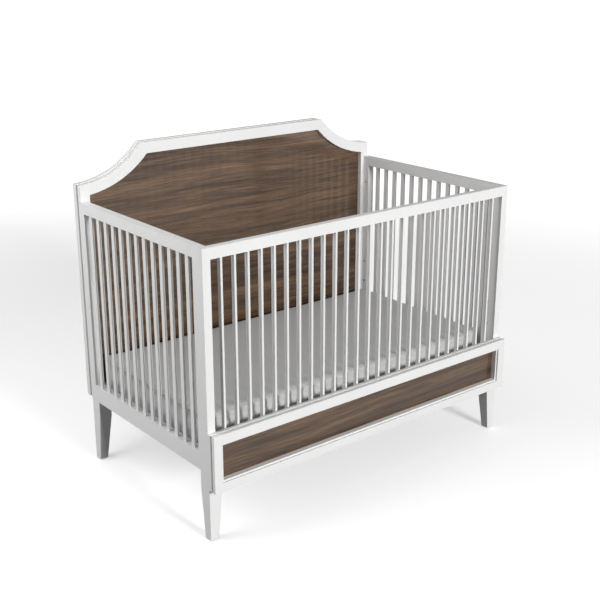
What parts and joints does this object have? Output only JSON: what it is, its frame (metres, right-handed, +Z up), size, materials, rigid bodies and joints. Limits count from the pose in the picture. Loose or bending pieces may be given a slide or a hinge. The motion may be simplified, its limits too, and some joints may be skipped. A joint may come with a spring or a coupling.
{
  "type": "baby crib",
  "caption": "White slatted baby crib on tapered legs, with a tall scoop-shouldered headboard and a front apron that frame walnut panels, and a mattress on a height-adjustable support.",
  "frame": {"origin": "on the floor, in the middle of the crib's length and of its overall depth", "axes": "+X runs along the crib to the right of a person facing the front frame, +Y points from the front frame to the headboard, +Z is up"},
  "size_m": [1.4, 0.87, 1.196],
  "materials": {
    "white_paint": "satin",
    "walnut": "satin",
    "beech": "matte",
    "mattress_cloth": "matte",
    "coated_steel": "satin",
    "dark_steel": "satin",
    "bright_steel": "satin",
    "zinc_insert": "satin",
    "nylon": "matte"
  },
  "bodies": {
    "crib_frame": {"left_front_post": "white_paint", "left_rear_post": "white_paint", "left_top_rail": "white_paint", "left_bottom_rail": "white_paint", "left_slats": "white_paint", "right_front_post": "white_paint", "right_rear_post": "white_paint", "right_top_rail": "white_paint", "right_bottom_rail": "white_paint", "right_slats": "white_paint", "left_front_leg": "white_paint", "left_rear_leg": "white_paint", "right_front_leg": "white_paint", "right_rear_leg": "white_paint", "leg_glides": "nylon", "front_left_stile": "white_paint", "front_right_stile": "white_paint", "front_top_rail": "white_paint", "front_bottom_rail": "white_paint", "front_slats": "white_paint", "apron_left_stile": "white_paint", "apron_right_stile": "white_paint", "apron_top_rail": "white_paint", "apron_bottom_rail": "white_paint", "apron_bead": "white_paint", "apron_panel": "walnut", "apron_core": "white_paint", "apron_back_board": "white_paint", "headboard_left_stile": "white_paint", "headboard_right_stile": "white_paint", "headboard_top_rail": "white_paint", "headboard_bottom_rail": "white_paint", "headboard_panel": "walnut", "headboard_core": "white_paint", "headboard_back_left_stile": "white_paint", "headboard_back_right_stile": "white_paint", "headboard_back_top_rail": "white_paint", "headboard_back_bottom_rail": "white_paint", "headboard_back_panel": "white_paint", "support_bolts": "dark_steel", "support_inserts": "zinc_insert", "headboard_bolts": "dark_steel", "headboard_barrel_nuts": "zinc_insert", "front_frame_bolts": "dark_steel", "front_frame_inserts": "zinc_insert", "leg_bolts": "bright_steel", "rail_dowels": "beech", "apron_screws": "bright_steel"},
    "mattress_support": {"support_front_rail": "coated_steel", "support_rear_rail": "coated_steel", "support_left_rail": "coated_steel", "support_right_rail": "coated_steel", "support_cross_bars": "coated_steel", "support_cross_wires": "coated_steel", "support_long_wires": "coated_steel", "support_hangers": "coated_steel", "support_rivets": "bright_steel"},
    "mattress": {"mattress": "mattress_cloth"}
  },
  "joints": [
    {"name": "support_height", "type": "slide", "parent": "crib_frame", "child": "mattress_support", "axis": [0, 0, 1], "range_m": [0, 0.27]},
    {"name": "mattress_lift", "type": "slide", "parent": "mattress_support", "child": "mattress", "axis": [0, 0, 1], "range_m": [0, 0.75]}
  ]
}
